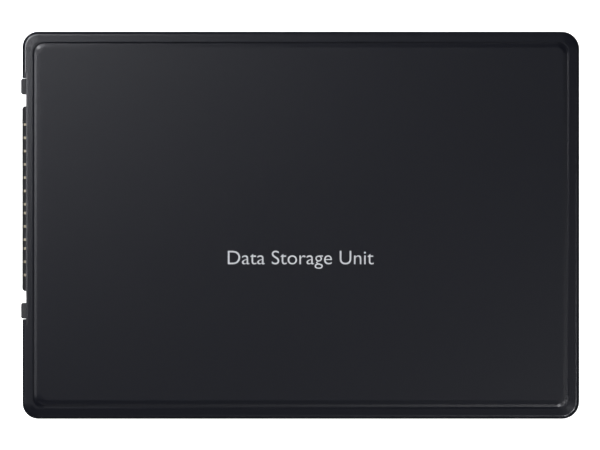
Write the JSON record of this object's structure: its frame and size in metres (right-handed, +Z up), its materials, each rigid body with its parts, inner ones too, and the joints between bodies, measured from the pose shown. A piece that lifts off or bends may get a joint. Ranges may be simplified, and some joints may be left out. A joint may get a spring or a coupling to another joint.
{
  "type": "solid state drive",
  "caption": "Flat rectangular black metal drive case with a raised top panel, a plug-in contact tongue between guide posts at one end, and threaded mounting holes below and at the sides.",
  "frame": {"origin": "middle of the underside of the drive's bounding box", "axes": "+X along the case from the connector end to the plain end, +Z up through the top cover, +Y across towards the side that the connector is offset to"},
  "size_m": [0.1008, 0.0698, 0.0068],
  "materials": {
    "tray_paint": "satin black paint on aluminium",
    "cover_paint": "fine matt black paint on aluminium",
    "dark_screw_steel": "black-plated steel",
    "bright_screw_steel": "nickel-plated steel",
    "label_film": "blank polyester label",
    "connector_plastic": "glass-filled black polymer",
    "gilt_contact": "gold-plated copper alloy",
    "tinned_metal": "tin plate",
    "board_laminate": "green solder mask on laminate",
    "lid_nickel": "nickel-plated lid",
    "package_resin": "moulded black resin",
    "ferrite": "pressed iron powder",
    "capacitor_resin": "amber moulded resin",
    "capacitor_ceramic": "fired ceramic",
    "resistor_glaze": "black glaze",
    "white_ceramic": "white ceramic",
    "thermal_silicone": "soft grey-blue silicone pad",
    "amber_film": "amber polyimide film"
  },
  "bodies": {
    "drive": {"base_tray": "tray_paint", "case_screws": "dark_screw_steel", "board_screws": "bright_screw_steel", "bottom_label": "label_film", "connector_housing": "connector_plastic", "ground_contacts": "gilt_contact", "lane_contacts": "gilt_contact", "signal_contacts": "gilt_contact", "clock_contacts": "gilt_contact", "power_contacts": "gilt_contact", "connector_hold_downs": "tinned_metal", "circuit_board": "board_laminate", "controller_substrate": "board_laminate", "controller_lid": "lid_nickel", "memory_chip_1": "package_resin", "memory_chip_2": "package_resin", "flash_top_1": "package_resin", "flash_top_2": "package_resin", "flash_top_3": "package_resin", "flash_top_4": "package_resin", "flash_bottom_1": "package_resin", "flash_bottom_2": "package_resin", "flash_bottom_3": "package_resin", "flash_bottom_4": "package_resin", "power_controller": "package_resin", "backup_converter": "package_resin", "input_switch": "package_resin", "input_fuse": "white_ceramic", "input_fuse_ends": "tinned_metal", "surge_diode": "package_resin", "surge_diode_legs": "tinned_metal", "power_inductors": "ferrite", "power_inductor_ends": "tinned_metal", "backup_capacitors": "capacitor_resin", "backup_capacitor_ends": "tinned_metal", "ceramic_capacitors": "capacitor_ceramic", "ceramic_capacitor_ends": "tinned_metal", "chip_resistors": "resistor_glaze", "chip_resistor_ends": "tinned_metal", "crystal_base": "white_ceramic", "crystal_lid": "lid_nickel", "firmware_chip": "package_resin", "firmware_chip_legs": "tinned_metal", "temperature_sensor": "package_resin", "temperature_sensor_legs": "tinned_metal", "flash_pads_bottom": "thermal_silicone", "insulation_film": "amber_film"},
    "cover": {"top_cover": "cover_paint", "controller_pad": "thermal_silicone", "memory_pads": "thermal_silicone", "flash_pads_top": "thermal_silicone", "converter_pad": "thermal_silicone"}
  },
  "joints": [
    {"name": "cover_lift", "type": "slide", "parent": "drive", "child": "cover", "axis": [0, 0, 1], "range_m": [0, 0.03]}
  ]
}
